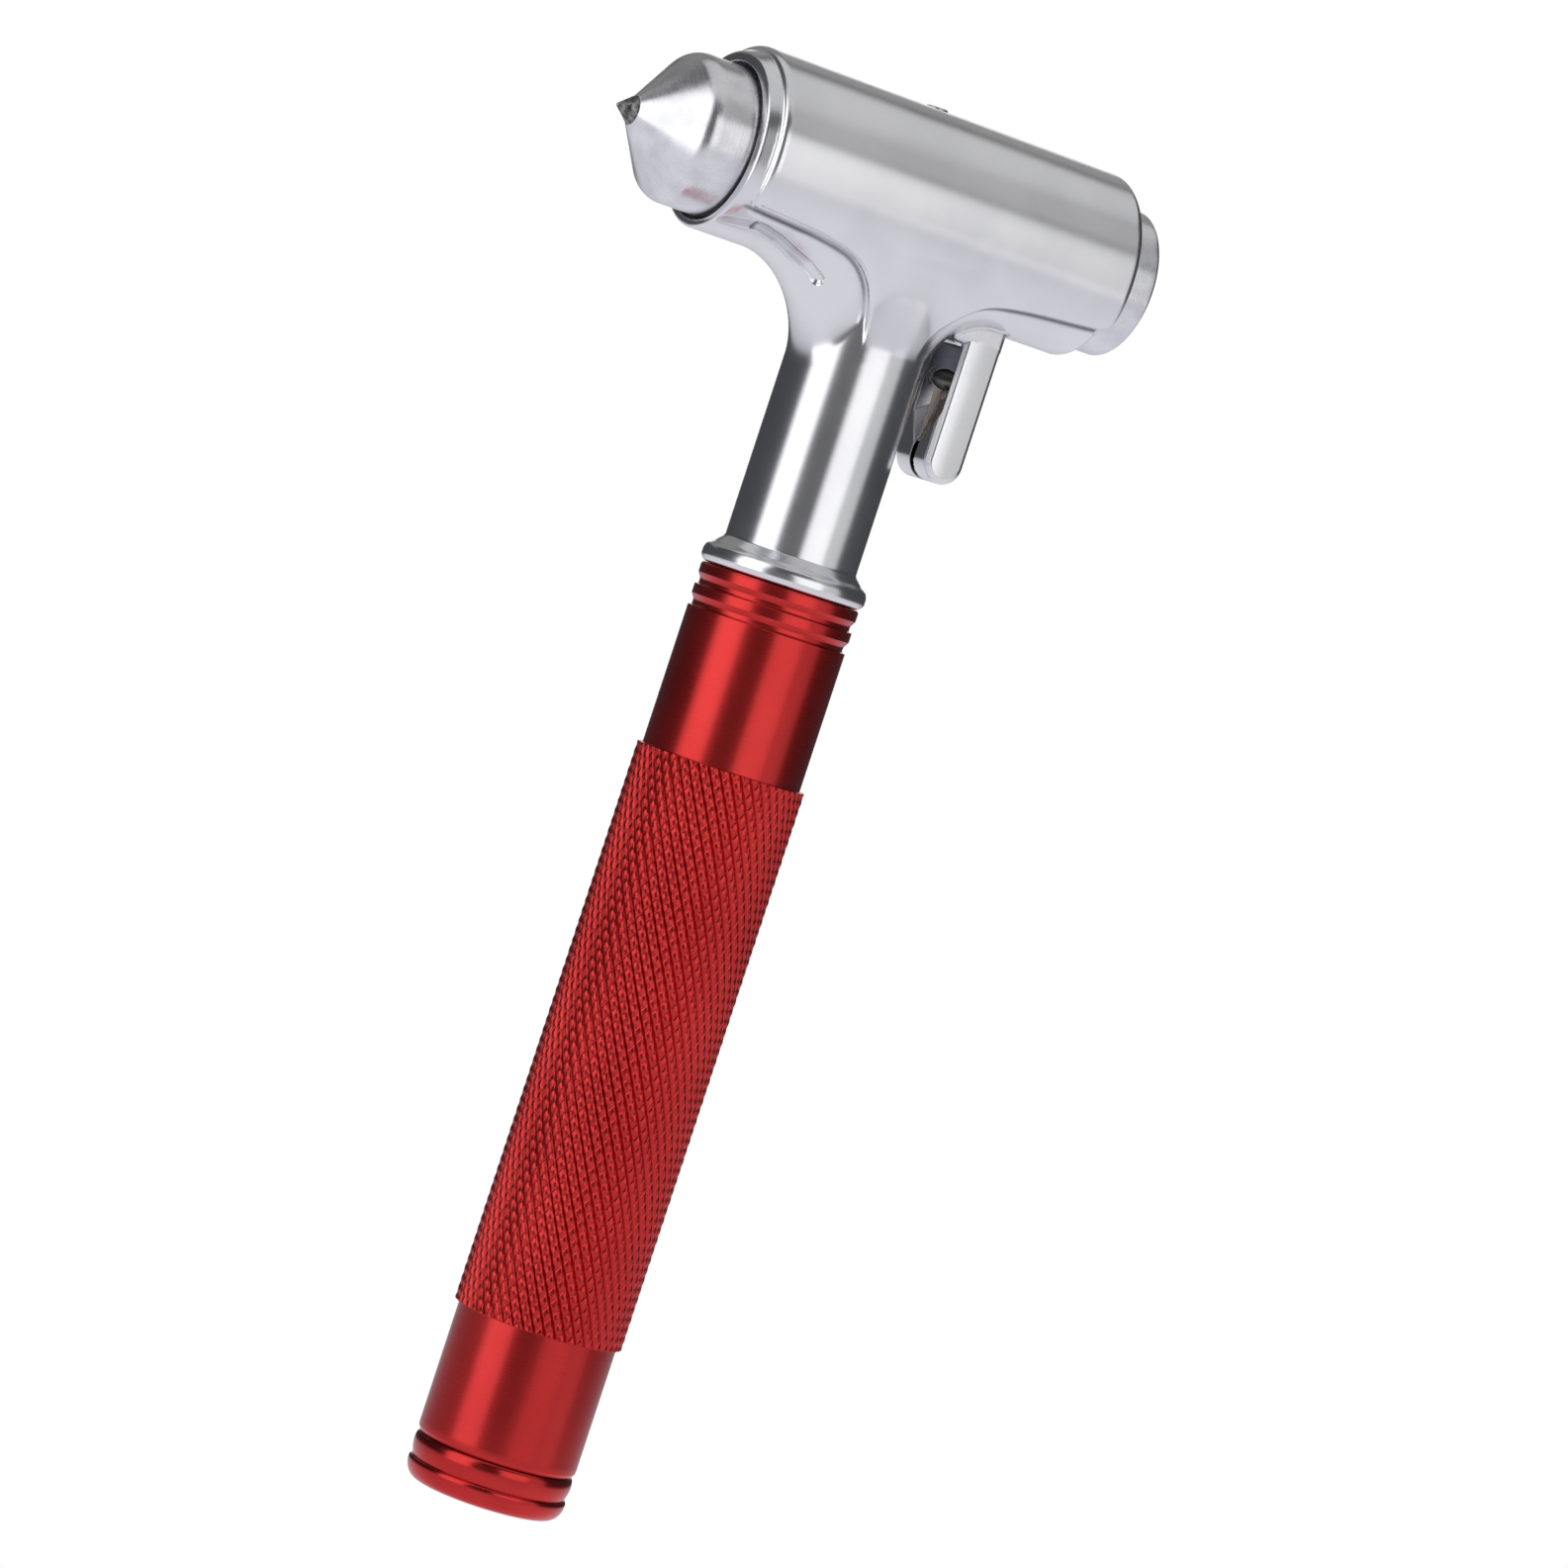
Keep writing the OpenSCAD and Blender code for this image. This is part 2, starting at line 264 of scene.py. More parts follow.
def new_object(name, verts, faces, material, body, replaced, smooth=True, angle=32.0,
               normals=None):
    """A piece made from points in millimetres. Edges sharper than angle stay sharp."""
    me = bpy.data.meshes.new(name)
    points = [tuple(v) for v in np.asarray(verts, float) * MM]
    me.from_pydata(points, [], [tuple(map(int, f)) for f in faces])
    me.validate()
    me.update()
    me.materials.append(material)
    ob = bpy.data.objects.new(name, me)
    bpy.context.scene.collection.objects.link(ob)
    me.polygons.foreach_set("use_smooth", [smooth] * len(me.polygons))
    if normals is not None:
        me.normals_split_custom_set_from_vertices([tuple(n) for n in normals])
    elif smooth:
        me.set_sharp_from_angle(angle=math.radians(angle))
    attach(ob, body)
    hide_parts(replaced)
    return ob


def arc(cx, cy, r, a0, a1, n):
    """Points along an arc, angles in degrees."""
    return [(cx + r * math.cos(math.radians(a0 + (a1 - a0) * i / n)),
             cy + r * math.sin(math.radians(a0 + (a1 - a0) * i / n))) for i in range(n + 1)]


def circle(r, z, seg):
    """The points of a level circle round the z axis."""
    turns = [2 * math.pi * k / seg for k in range(seg)]
    return [(r * math.cos(t), r * math.sin(t), z) for t in turns]


def lathe(profile, seg):
    """A solid turned about the barrel's axis. The profile is (radius, x) points that start and end
    on the axis."""
    pts = [profile[0]]
    for p in profile[1:]:
        if math.dist(p, pts[-1]) > 1e-4:
            pts.append(p)
    verts, rows = [], []
    for r, h in pts:
        if r < 1e-6:
            rows.append([len(verts)])
            verts.append((0.0, 0.0, h))
            continue
        rows.append(list(range(len(verts), len(verts) + seg)))
        verts += circle(r, h, seg)
    faces = []
    for a, b in zip(rows[:-1], rows[1:]):
        for k in range(seg):
            n = (k + 1) % seg
            if len(a) == 1:
                faces.append((a[0], b[n], b[k]))
            elif len(b) == 1:
                faces.append((a[k], a[n], b[0]))
            else:
                faces.append((a[k], a[n], b[n], b[k]))
    v = np.array(verts)
    return outward(np.stack([v[:, 2], -v[:, 1], v[:, 0] + AXIS_Z], axis=1), faces)


def outward(verts, faces):
    """Turns the faces so that the solid's volume is positive."""
    vol = 0.0
    for f in faces:
        a = verts[f[0]]
        for i in range(1, len(f) - 1):
            vol += np.dot(a, np.cross(verts[f[i]], verts[f[i + 1]]))
    return (verts, faces) if vol > 0 else (verts, [tuple(reversed(f)) for f in faces])


# ---------------------------------------------------------------- smooth solids from distances

def rmax(a, b, r):
    """Both of two solids, with the edge between them rounded to radius r."""
    u = np.maximum(a + r, 0)
    v = np.maximum(b + r, 0)
    return np.minimum(-r, np.maximum(a, b)) + np.sqrt(u * u + v * v)


def rmin(a, b, r):
    """Either of two solids, with a hollow fillet of radius r."""
    u = np.maximum(r - a, 0)
    v = np.maximum(r - b, 0)
    return np.maximum(r, np.minimum(a, b)) - np.sqrt(u * u + v * v)


def cmax(a, b, c):
    """Both of two solids, with a flat chamfer c wide on the edge."""
    return rmax(np.maximum(a, b), (a + b + c) * 0.70711, 0.12)


def slab(t, lo, hi):
    """Everything with t between lo and hi."""
    return np.abs(t - (lo + hi) / 2) - (hi - lo) / 2


def step(t):
    """Smooth step from 0 to 1 as t goes from 0 to 1."""
    t = np.clip(t, 0, 1)
    return t * t * (3 - 2 * t)


def spline(points, n=7):
    """A smooth curve through the points, with n steps between each two."""
    p = [np.array(q, float) for q in points]
    p = [2 * p[0] - p[1]] + p + [2 * p[-1] - p[-2]]
    out = []
    for i in range(1, len(p) - 2):
        for k in range(n):
            t = k / n
            out.append(0.5 * ((2 * p[i]) + (p[i + 1] - p[i - 1]) * t
                              + (2 * p[i - 1] - 5 * p[i] + 4 * p[i + 1] - p[i + 2]) * t * t
                              + (3 * p[i] - p[i - 1] - 3 * p[i + 1] + p[i + 2]) * t ** 3))
    out.append(p[-2])
    return out


def inside_polygon(x, z, poly):
    """Signed distance to a polygon, negative inside."""
    d = np.full(np.broadcast(x, z).shape, 1e9)
    s = np.ones(d.shape)
    n = len(poly)
    for i in range(n):
        a, b = poly[i], poly[i - 1]
        ex, ez = b[0] - a[0], b[1] - a[1]
        wx, wz = x - a[0], z - a[1]
        h = np.clip((wx * ex + wz * ez) / (ex * ex + ez * ez), 0, 1)
        dx, dz = wx - ex * h, wz - ez * h
        d = np.minimum(d, dx * dx + dz * dz)
        c1, c2, c3 = z >= a[1], z < b[1], ex * wz > ez * wx
        flip = (c1 & c2 & c3) | (~c1 & ~c2 & ~c3)
        s = np.where(flip, -s, s)
    return s * np.sqrt(d)


def near_path(x, y, z, path):
    """Distance to a chain of points in space."""
    best = None
    for a, b in zip(path[:-1], path[1:]):
        e = [b[i] - a[i] for i in range(3)]
        w = (x - a[0], y - a[1], z - a[2])
        h = np.clip((w[0] * e[0] + w[1] * e[1] + w[2] * e[2]) / sum(k * k for k in e), 0, 1)
        d = np.sqrt((w[0] - e[0] * h) ** 2 + (w[1] - e[1] * h) ** 2 + (w[2] - e[2] * h) ** 2)
        best = d if best is None else np.minimum(best, d)
    return best


def surface_net(fn, lo, hi, pitch):
    """Quads near the surface where fn is 0, with one vertex in each grid cell that it crosses."""
    ax = [np.arange(lo[i], hi[i] + pitch, pitch) for i in range(3)]
    v = fn(ax[0][:, None, None], ax[1][None, :, None], ax[2][None, None, :])
    v = np.broadcast_to(v, tuple(len(a) for a in ax)).astype(np.float32)
    s = (v < 0)
    count = np.zeros(tuple(n - 1 for n in v.shape), np.int8)
    corner = [(i, j, k) for i in (0, 1) for j in (0, 1) for k in (0, 1)]
    nx, ny, nz = count.shape
    for i, j, k in corner:
        count += s[i:i + nx, j:j + ny, k:k + nz]
    cells = np.argwhere((count > 0) & (count < 8))
    index = np.full(count.shape, -1, np.int64)
    index[tuple(cells.T)] = np.arange(len(cells))
    total, hits = np.zeros((len(cells), 3)), np.zeros(len(cells))
    for a in corner:
        for d in range(3):
            if a[d]:
                continue
            b = tuple(1 if q == d else a[q] for q in range(3))
            va = v[tuple((cells + a).T)]
            vb = v[tuple((cells + b).T)]
            cross = (va < 0) != (vb < 0)
            t = np.where(cross, va / np.where(va == vb, 1, va - vb), 0)
            p = np.array(a, float)[None, :] + t[:, None] * (np.array(b) - np.array(a))[None, :]
            total += p * cross[:, None]
            hits += cross
    pts = (cells + total / hits[:, None]) * pitch + np.array([a[0] for a in ax])
    faces = []
    for d in range(3):
        e = [1 if q == d else 0 for q in range(3)]
        sa = s[tuple(slice(0, s.shape[q] - e[q]) for q in range(3))]
        sb = s[tuple(slice(e[q], None) for q in range(3))]
        at = np.argwhere(sa != sb)
        o1, o2 = [q for q in range(3) if q != d]
        u, w = at[:, o1], at[:, o2]
        at = at[(u > 0) & (w > 0) & (u < s.shape[o1] - 1) & (w < s.shape[o2] - 1)]
        flip = sa[tuple(at.T)]
        quad = []
        for s1, s2 in ((0, 0), (1, 0), (1, 1), (0, 1)):
            c = at.copy()
            c[:, o1] -= s1
            c[:, o2] -= s2
            quad.append(index[tuple(c.T)])
        quad = np.stack(quad, axis=1)
        if d == 1:
            flip = ~flip
        quad[flip] = quad[flip][:, ::-1]
        faces.append(quad)
    return pts, np.concatenate(faces)


def solid_mesh(fn, lo, hi, pitch):
    """Meshes the surface where fn is 0, and slides every vertex onto it. Gives vertices, quads and
    the surface's own normals."""
    pts, faces = surface_net(fn, lo, hi, pitch)

    def value(p):
        return np.asarray(fn(p[:, 0], p[:, 1], p[:, 2]), float)

    def slope(p, h=0.03):
        g = np.empty_like(p)
        for q in range(3):
            o = np.zeros(3)
            o[q] = h
            g[:, q] = (value(p + o) - value(p - o)) / (2 * h)
        return g

    # Newton steps, each at most half a cell long
    for _ in range(4):
        g = slope(pts)
        move = (value(pts) / np.maximum((g * g).sum(1), 0.25))[:, None] * g
        length = np.linalg.norm(move, axis=1, keepdims=True)
        pts = pts - move * np.minimum(1.0, 0.5 * pitch / np.maximum(length, 1e-9))
    n = slope(pts, 0.05)
    n /= np.maximum(np.linalg.norm(n, axis=1, keepdims=True), 1e-9)
    vs, fs = outward_quads(pts, faces)
    return vs, fs, n


def outward_quads(pts, faces):
    """The same as outward, for a whole array of quads."""
    a, b, c, d = (pts[faces[:, i]] for i in range(4))
    vol = (np.einsum("ij,ij->i", a, np.cross(b, c)) + np.einsum("ij,ij->i", a, np.cross(c, d))).sum()
    return pts, (faces if vol > 0 else faces[:, ::-1])


# ---------------------------------------------------------------- the die-cast head

# Side view of the raised layer, as (x, height over the barrel's axis). Its foot comes in from the
# left, turns down the neck as a stem and leaves to the right.
LEFT_FOOT = [(-45, -6.0), (-28, -6.7), (-20, -7.15), (-15.5, -7.6), (-10.6, -8.7),
             (-7.2, -11.0), (-5.2, -14.0), (-4.4, -17.5), (-4.2, -22.0), (-4.1, -26.0)]
RIGHT_FOOT = [(4.0, -26.0), (4.1, -21.0), (4.5, -17.2), (5.5, -14.9), (7.1, -12.6), (9.5, -10.2),
              (12.4, -8.7), (17.8, -7.7), (27.5, -6.9), (45, -5.4)]
PANEL = [(-60, -5.0)] + spline(LEFT_FOOT) + spline(RIGHT_FOOT) + [(60, -5.0), (60, 30), (-60, 30)]

BASE_LEFT, BASE_RIGHT = -30.0, 29.3         # ends of the lower layer along the barrel
RAISED_LEFT, RAISED_RIGHT = -28.25, 29.7    # and of the raised one
BORE_R = 10.33                              # the bore for the striker bar

GUARD_X = 16.3                              # middle of the belt cutter's guard
GUARD_NEAR, GUARD_FAR = -3.75, 4.9          # its two cheeks along y, and
SLOT_NEAR, SLOT_FAR = 0.2, 1.2              # the slot between its halves, for the blade
GUARD_R = 3.0                               # half its width, and the radius of its lower end
GUARD_LOW = 150.7                           # height of that end's centre
SCREWS = ((15.4, 161.4), (GUARD_X, 150.9))  # the guard's screws, as (x, z)
POCKET_X = 13.3                             # where the pocket's walls are set out from
ARCH_X, ARCH_Z = 11.22, 164.7               # centre of the arch between the neck and the guard
ARCH_R = 2.05

# Points along the flute under the barrel, before it is laid on the web.
FLUTE = [(-28.9, -7.1, 171.5), (-26.3, -7.5, 171.8), (-23.6, -7.5, 171.9), (-20.4, -6.9, 171.3),
         (-17.5, -7.0, 170.2), (-15.2, -7.1, 169.3), (-13.4, -7.2, 168.2)]
FLUTE_R = 1.2


def guard_side(x, z):
    """Side view of the guard: straight, with a round lower end."""
    return np.sqrt((x - GUARD_X) ** 2 + np.minimum(z - GUARD_LOW, 0) ** 2) - GUARD_R


def pocket(x, y, z):
    """The V that leads a belt to the blade, closed below by two slanted facets."""
    into = x - POCKET_X
    near = (into * 3.5 - (y + 3.2) * 3.2) / 4.742
    far = (into * 3.0 + (y - 4.1) * 3.2) / 4.386
    low_far = into * 0.80 + (y - 1.2) * 0.50 - (z - 151.8) * 0.33
    low_near = into * 0.80 - (y - 0.2) * 0.50 - (z - 151.8) * 0.33
    low = np.maximum(low_far, low_near)
    return np.maximum(np.maximum(near, far), np.maximum(np.maximum(low, z - 166.0), 11.6 - x))


def cutter_holes(x, z, r):
    """Cylinders of radius r along the two screws."""
    return np.minimum(*(np.hypot(x - xc, z - zc) for xc, zc in SCREWS)) - r


def barrel_and_web(x, y, z, ends=True):
    """Lower layer of the barrel, and the neck under it, joined by a wide hollow."""
    rb = np.hypot(y, z - AXIS_Z)
    rn = np.hypot(x, y)
    base = rb - BASE_R
    if ends:
        base = rmax(rmax(base, BASE_LEFT - x, 0.45), x - BASE_RIGHT, 1.0)
    neck = rmax(rmax(rn - NECK_R, z - 174.0, 0.3), COLLAR_Z + 1.2 - z, 0.1)
    # the hollow is narrow in front, wide to the right and widest to the left
    turn = x / np.maximum(rn, 1e-6)
    left = step((-turn - 0.30) / 0.70)
    right = step((turn - 0.1) / 0.8)
    return rmin(base, neck, 4.0 + 8.5 * left + 4.6 * right)


def flute_path():
    """The flute's middle line, laid on the web and raised so that the cut deepens toward its end."""
    out = []
    view = np.array([-0.4997, -0.8655, 0.0366])     # from the hammer to the camera
    for k, p in enumerate(FLUTE):
        at = np.array(p, float) + 14 * view
        for _ in range(60):
            at = at - view * float(barrel_and_web(*at)) * 0.8
        grow = [float(barrel_and_web(*(at + e)) - barrel_and_web(*(at - e))) for e in 0.05 * np.eye(3)]
        g = np.array(grow) / np.linalg.norm(grow)
        out.append(tuple(at + g * (FLUTE_R - 0.42 - 0.38 * k / (len(FLUTE) - 1))))
    return out


def coned_band(x, y, z):
    """The band round the left end, which runs out into the lower layer underneath."""
    zb = z - AXIS_Z
    grown = step((zb + 10.0) / 5.5) * step((-25.6 - x) / 2.6)
    band = np.hypot(y, zb) - (BASE_R - 0.12 + grown * (0.42 + 0.42 * np.clip(x - BASE_LEFT, 0, 1.6)))
    return rmax(np.maximum(band, x + 25.0), BASE_LEFT - x, 0.35)


def with_raised_layer(body, x, y, z):
    """Adds the T-shaped layer, which stands proud of the barrel and sinks into the neck."""
    lift = -0.35 + 0.75 * step((z - 155.5) / 11.0) + 1.50 * step((z - 161.5) / 11.0)
    raised = barrel_and_web(x, y, z, False) - lift
    raised = rmax(rmax(raised, RAISED_LEFT - x, 1.25), x - RAISED_RIGHT, 1.35)
    # a shallow valley follows the layer's foot
    edge = inside_polygon(x, z - AXIS_Z, PANEL)
    there = step((z - 160.0) / 7.0) * step((x + 29.0) / 2.0)
    valley = 0.60 - np.hypot(edge - 0.75, body - 0.96 + 0.50 * there)
    edge = rmax(rmax(edge, x - RAISED_RIGHT - 0.05, 2.2), RAISED_LEFT + 0.05 - x, 1.6)
    raised = rmax(raised, (edge + 0.30 * raised) * 0.958, 0.38)
    body = rmin(body, raised, 0.15 + 0.22 * step((-26.6 - x) / 1.0))
    return rmax(body, valley, 0.12)


def collar(x, y, z):
    """The ring over the end of the handle, and the flare between it and the neck."""
    rn = np.hypot(x, y)
    ring = rmax(rn - 11.4, slab(z, COLLAR_Z, COLLAR_Z + 2.7), 1.2)
    flare = (rn - NECK_R + z - COLLAR_Z - 4.25) * 0.70711
    flare = np.maximum(np.maximum(flare, COLLAR_Z + 1.3 - z), rn - 11.0)
    return rmin(ring, flare, 0.5)


def near_guard(x, y, z):
    """The block that carries the guard, with an arch beside the neck, and the guard's fixed half,
    whose near cheek is crowned and chamfered."""
    block = cmax(np.maximum(slab(x, 5.7, GUARD_X + GUARD_R), 166.6 - z), slab(y, GUARD_NEAR, 4.6), 0.75)
    block = np.maximum(block, z - 173.0)
    bridge = np.maximum(slab(x, 8.2, 14.2), slab(y, -2.775, 3.625))
    block = rmin(block, np.maximum(bridge, slab(z, ARCH_Z + 0.1, ARCH_Z + 4.5)), 0.3)
    arch = np.hypot(x - ARCH_X, np.maximum(z - ARCH_Z, 0)) - ARCH_R
    block = rmax(block, -arch, 0.2)
    side = np.maximum(guard_side(x, z), z - 174.0)
    cheek = slab(y, GUARD_NEAR, SLOT_NEAR)
    half = cmax(side, cheek + 0.018 * (x - GUARD_X) ** 2, 0.70)
    half = np.where(y > -1.0, np.maximum(side, cheek), half)
    return np.minimum(block, half)


def head(x, y, z):
    """The casting, with its spigot, bores and holes."""
    rb = np.hypot(y, z - AXIS_Z)
    rn = np.hypot(x, y)
    body = barrel_and_web(x, y, z)
    # flutes on both sides of the web
    body = rmax(body, -(near_path(x, -np.abs(y), z, CUT_PATH) - FLUTE_R), 0.22)
    body = rmin(body, coned_band(x, y, z), 0.15)
    body = with_raised_layer(body, x, y, z)
    body = rmin(body, collar(x, y, z), 0.08)
    body = rmin(body, near_guard(x, y, z), 0.3)
    spigot = rmax(rmax(rn - SPIGOT_R, BOLT_SEAT + 6 - z, 0.5), z - COLLAR_Z - 2.7, 0.1)
    body = np.minimum(body, spigot)
    # the striker bar's bore with a wider mouth at each end, and the holes for the screws and the bolt
    body = rmax(body, -(rb - BORE_R), 0.15)
    body = rmax(body, -np.maximum(rb - 10.8, x + 28.4), 0.18)
    body = rmax(body, -np.maximum(rb - 10.95, 28.1 - x), 0.18)
    body = rmax(body, -np.maximum(rn - 1.56, AXIS_Z + 5 - z), 0.22)
    body = rmax(body, -np.maximum(rn - 4.05, z - 154.0), 0.3)
    body = rmax(body, -pocket(x, y, z), 0.14)
    return rmax(body, -np.maximum(cutter_holes(x, z, 1.3), -1.4 - y), 0.1)


def cover(x, y, z):
    """The guard's loose half, with counterbored holes."""
    side = np.maximum(guard_side(x, z), z - 166.5)
    cheek = slab(y, SLOT_FAR, GUARD_FAR)
    half = np.where(y < 2.8, rmax(side, cheek, 0.12), rmax(side, cheek, 0.22))
    half = rmax(half, -pocket(x, y, z), 0.14)
    half = rmax(half, -cutter_holes(x, z, 1.3), 0.08)
    return rmax(half, -np.maximum(cutter_holes(x, z, 1.75), 3.45 - y), 0.12)


def painted_shade_lines(x, y, z):
    """Painted shade along the foot of the raised layer, and in the flutes."""
    edge = inside_polygon(x, z - AXIS_Z, PANEL)
    line = np.exp(-((edge - 0.55) / 0.34) ** 2) * step((z - 161.0) / 9.0)
    line = line * step((x + 29.2) / 1.4) * (x < 28.6)
    dip = step((FLUTE_R + 0.25 - near_path(x, -np.abs(y), z, CUT_PATH)) / 0.25) * step((-13.6 - x) / 2.2)
    return 0.34 * line + 0.13 * dip


def whole_head(x, y, z):
    """The casting with the loose guard half on it."""
    return np.minimum(head(x, y, z), cover(x, y, z))


def cutter_screws(x, y, z):
    """Both screws of the guard: a round head with a hexagon socket, and a plain shank."""
    both = []
    for xc, zc in SCREWS:
        r = np.hypot(x - xc, z - zc)
        top = rmax(r - 1.65, slab(y, GUARD_FAR - 1.4, GUARD_FAR - 0.4), 0.22)
        shank = rmax(r - 1.25, slab(y, GUARD_NEAR + 1.3, GUARD_FAR - 0.55), 0.15)
        a = np.arctan2(z - zc, x - xc)
        hexagon = r * np.cos((a + math.pi / 6) % (math.pi / 3) - math.pi / 6) - 0.74
        both.append(rmax(rmin(top, shank, 0.12), -np.maximum(hexagon, 3.8 - y), 0.06))
    return np.minimum(*both)


def set_screw(x, y, z):
    """The slotted screw in the top of the barrel that holds the striker bar."""
    r = np.hypot(x, y)
    top = AXIS_Z + SHELL_R + 0.2
    body = rmax(rmax(r - 1.5, z - top, 0.22), AXIS_Z + 10.4 - z, 0.2)
    point = rmax(r - 1.0, AXIS_Z + 9.55 - z, 0.1)
    body = rmin(body, np.maximum(point, z - top + 1), 0.1)
    return rmax(body, -np.maximum(slab(y, -0.25, 0.25), top - 0.6 - z), 0.06)


def carved(name, fn, lo, hi, pitch, material, node, around=None):
    """Meshes a piece of the hammer from fn, between lo and hi, with painted shade in its corners. around is
    what that painted shade is measured against.
    """
    v, f, n = solid_mesh(fn, lo, hi, pitch)
    ob = new_object(name, v, f, material, "hammer", node, normals=n)
    # painted shade: how far each point sits in a corner, darkened there in the colour
    deep = np.zeros(len(v))
    for reach, share in ((0.35, 0.35), (0.9, 0.35), (1.9, 0.30)):
        q = v + n * reach
        room = np.asarray((around or fn)(q[:, 0], q[:, 1], q[:, 2]), float)
        deep += share * np.clip(1 - room / reach, 0, 1)
    # painted shade lines along the foot of the raised layer and in the flutes
    if node == "head_housing":
        deep += painted_shade_lines(v[:, 0], v[:, 1], v[:, 2])
    if around is not None:
        # painted shade: the guard's pocket is painted darkest at its top
        deep += 0.42 * (np.abs(pocket(v[:, 0], v[:, 1], v[:, 2])) < 0.12) * step((v[:, 2] - 156.5) / 6.0)
    layer = ob.data.attributes.new("painted_corner_shade", "FLOAT", "POINT")
    layer.data.foreach_set("value", deep.astype(np.float32))
    return ob


HEAD_PITCH = 0.25
CUT_PATH = flute_path()
carved("head_casting", head, (-31.2, -14.7, 117.0), (31.0, 14.7, 196.0), HEAD_PITCH,
       CHROME, "head_housing", whole_head)
carved("guard_cover", cover, (12.7, 0.8, 147.0), (19.9, 5.4, 167.2), 0.16,
       CHROME, "cutter_cover", whole_head)
carved("guard_screws", cutter_screws, (12.9, -2.9, 148.5), (18.6, 5.0, 163.6), 0.13,
       DARK, "cutter_screws")
carved("striker_lock_screw", set_screw, (-2.0, -2.0, AXIS_Z + 9.2), (2.0, 2.0, AXIS_Z + 14.2), 0.09,
       ZINC, "striker_set_screw")


# ---------------------------------------------------------------- striker, tip and blade

BAR_R = 10.25
FACE_X = 34.8           # the flat striking face
SHANK_X = -38.6         # inner end of the tip's shank


def striker_profile():
    """The bar as (radius, x), from the tip's socket over the cone to the striking face."""
    p = [(0.0, -38.4), (1.5, -38.4), (1.5, -43.1), (1.98, -43.1), (2.12, -42.95)]
    p += arc(BAR_R - 2.8, -35.07, 2.8, -51.2, 0, 12)
    p += [(BAR_R, x) for x in np.linspace(-34.6, 33.8, 12)]
    p += arc(BAR_R - 0.55, FACE_X - 0.55, 0.55, 0, 90, 6)
    # a barely dished face with fine facing steps
    r = 9.6
    while r > 0.3:
        p += [(r, FACE_X - 0.010), (r - 0.10, FACE_X - 0.022)]
        r -= 0.55
    p += [(0.0, FACE_X - 0.012)]
    return p


v, f = lathe(striker_profile(), 224)
new_object("striker_bar_turned", v, f, STEEL, "hammer", "striker_bar", angle=24)


def tip_mesh():
    """A ground hard-metal point, with flats and small chips, and its shank in the bar."""
    rng = np.random.default_rng(7)
    n = 10
    verts, faces, rings = [], [], []

    def ring(x, radius, turn, wobble):
        rings.append(list(range(len(verts), len(verts) + n)))
        for k in range(n):
            a = 2 * math.pi * k / n + turn + rng.uniform(-1, 1) * wobble * 1.4
            r = radius * (1 - rng.uniform(0, 1) * wobble)
            along = x + rng.uniform(-1, 1) * wobble * 0.5
            verts.append((along, r * math.cos(a), r * math.sin(a) + AXIS_Z))

    for station in ((SHANK_X, 1.47, 0.2, 0), (-42.9, 1.47, 0.2, 0), (-43.12, 1.93, 0.2, 0),
                    (-43.32, 1.90, 0.2, 0.05), (-43.95, 1.42, 0.15, 0.13), (-44.70, 0.84, 0.15, 0.20),
                    (-45.25, 0.36, 0.10, 0.25)):
        ring(*station)
    for a, b in zip(rings[:-1], rings[1:]):
        for k in range(n):
            m = (k + 1) % n
            if k % 2:
                faces += [(a[k], a[m], b[m]), (a[k], b[m], b[k])]
            else:
                faces += [(a[k], a[m], b[k]), (a[m], b[m], b[k])]
    verts.append((-45.6, 0.03, AXIS_Z + 0.05))
    faces += [(rings[-1][k], rings[-1][(k + 1) % n], len(verts) - 1) for k in range(n)]
    verts.append((SHANK_X, 0.0, AXIS_Z))
    faces += [(rings[0][(k + 1) % n], rings[0][k], len(verts) - 1) for k in range(n)]
    return outward(np.array(verts), faces)


v, f = tip_mesh()
new_object("hard_metal_point", v, f, TIP, "hammer", "carbide_tip", smooth=False)


def blade_mesh():
    """A flat blade, double bevelled to a thin edge at the mouth of the V."""
    y0, y1 = SLOT_NEAR + 0.05, SLOT_FAR - 0.05
    ym = (y0 + y1) / 2
    section = [(13.45, ym - 0.02), (14.40, y0), (14.48, y0), (18.80, y0), (18.86, y0 + 0.06),
               (18.86, y1 - 0.06), (18.80, y1), (14.48, y1), (14.40, y1), (13.45, ym + 0.02)]
    rows = [152.45, 152.55] + list(np.linspace(153.2, 159.3, 16)) + [159.9, 159.98]
    verts, faces = [], []
    n = len(section)
    for i, z in enumerate(rows):
        inset = 0.05 if i in (0, len(rows) - 1) else 0.0
        for x, y in section:
            verts.append((x + (inset if x < 16 else -inset), ym + (y - ym) * (1 - inset), z))
    for i in range(len(rows) - 1):
        for k in range(n):
            m = (k + 1) % n
            faces.append((i * n + k, i * n + m, (i + 1) * n + m, (i + 1) * n + k))
    faces.append(tuple(reversed(range(n))))
    faces.append(tuple(range((len(rows) - 1) * n, len(rows) * n)))
    return outward(np.array(verts), faces)


v, f = blade_mesh()
new_object("belt_blade", v, f, BLADE, "hammer", "cutter_blade", angle=12)


# ---------------------------------------------------------------- handle tube with its real knurl

STARTS = 48                                # diamonds round the handle
ALONG = 28                                 # and along it
LEAD = (KNURL_TOP - KNURL_LOW) / ALONG     # their pitch along the handle
DEEP_A = 0.37                              # depth of the stronger family of grooves
CROWN = 0.17                               # how far a diamond's top falls away to its edges
WIDE_A, WIDE_B = 0.26, 0.13                # half widths, as a share of the pitch


